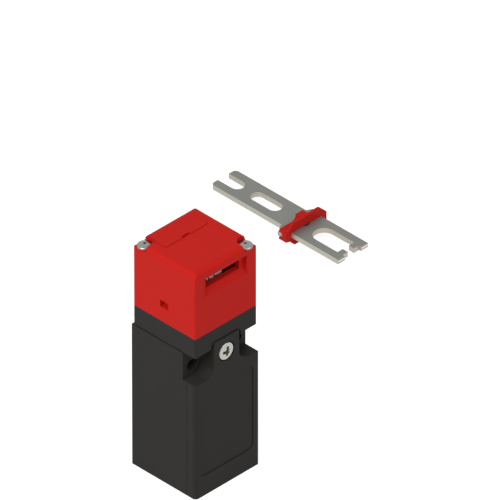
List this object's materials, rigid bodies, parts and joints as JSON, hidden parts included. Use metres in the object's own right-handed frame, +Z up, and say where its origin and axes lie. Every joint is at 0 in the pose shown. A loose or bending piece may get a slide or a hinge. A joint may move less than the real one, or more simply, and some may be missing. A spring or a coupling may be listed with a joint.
{
  "type": "tongue interlock switch",
  "caption": "Narrow plastic guard-door interlock switch with a turning cam head, lying beside its jointed steel tongue actuator.",
  "frame": {"origin": "centre of the threaded cable entry at the underside of the switch body", "axes": "+Z up from the cable entry to the head; -Y is the front with the cover and the tongue slot; +X is the side on which the actuator lies"},
  "size_m": [0.1478, 0.1249, 0.0944],
  "materials": {
    "black_thermoplastic": "fine spark-eroded moulded texture, glass-filled thermoplastic",
    "red_thermoplastic": "moulded, satin, coloured through",
    "grey_thermoset": "moulded thermoset, dull",
    "natural_plastic": "moulded acetal, natural",
    "black_acetal": "moulded acetal, smooth",
    "black_rubber": "nitrile, dull",
    "contact_brass": "stamped, bright",
    "zinc_steel": "zinc plated, blue passivated",
    "spring_steel": "drawn wire",
    "stainless_steel": "stamped stainless, tumbled"
  },
  "bodies": {
    "switch": {"housing": "black_thermoplastic", "front_cover": "black_thermoplastic", "cover_gasket": "black_rubber", "cover_screw": "zinc_steel", "contact_base": "grey_thermoset", "fixed_contacts": "contact_brass", "terminal_clamps": "zinc_steel", "terminal_screws": "zinc_steel", "return_spring": "spring_steel", "head_neck": "black_thermoplastic", "head_gasket": "black_rubber", "rod_seal": "black_rubber", "head_housing": "red_thermoplastic", "head_base": "red_thermoplastic", "slot_plug": "red_thermoplastic", "head_screws": "zinc_steel", "cam_axle": "stainless_steel"},
    "cam": {"cam_wheel": "stainless_steel", "cam_hub": "black_acetal"},
    "plunger": {"push_rod": "black_acetal", "contact_carrier": "natural_plastic", "contact_bridges": "contact_brass"},
    "plate": {"mounting_plate": "stainless_steel", "trunnion_pins": "stainless_steel"},
    "joint": {"joint_collar": "red_thermoplastic", "pivot_pin": "stainless_steel"},
    "tongue": {"tongue_plate": "stainless_steel"}
  },
  "joints": [
    {"name": "cam_turn", "type": "hinge", "parent": "switch", "child": "cam", "pos_m": [0, -0.00011, 0.0791], "axis": [-1, 0, 0], "range_deg": [0, 80.5]},
    {"name": "plunger_slide", "type": "slide", "parent": "switch", "child": "plunger", "axis": [0, 0, 1], "range_m": [0, 0.003], "deforming": ["return_spring"]},
    {"name": "tongue_lift", "type": "slide", "parent": "switch", "child": "plate", "axis": [0, 0, 1], "range_m": [0, 0.1]},
    {"name": "tongue_pitch", "type": "hinge", "parent": "plate", "child": "joint", "pos_m": [0.12255, 0.07125, 0.00465], "axis": [1, 0, 0], "range_deg": [-8, 8]},
    {"name": "tongue_yaw", "type": "hinge", "parent": "joint", "child": "tongue", "pos_m": [0.12255, 0.06917, 0.00465], "axis": [0, 0, 1], "range_deg": [-4, 4]}
  ],
  "couplings": [
    {"joint": "plunger_slide", "follows": "cam_turn", "m_per_rad": 0.0021352}
  ]
}
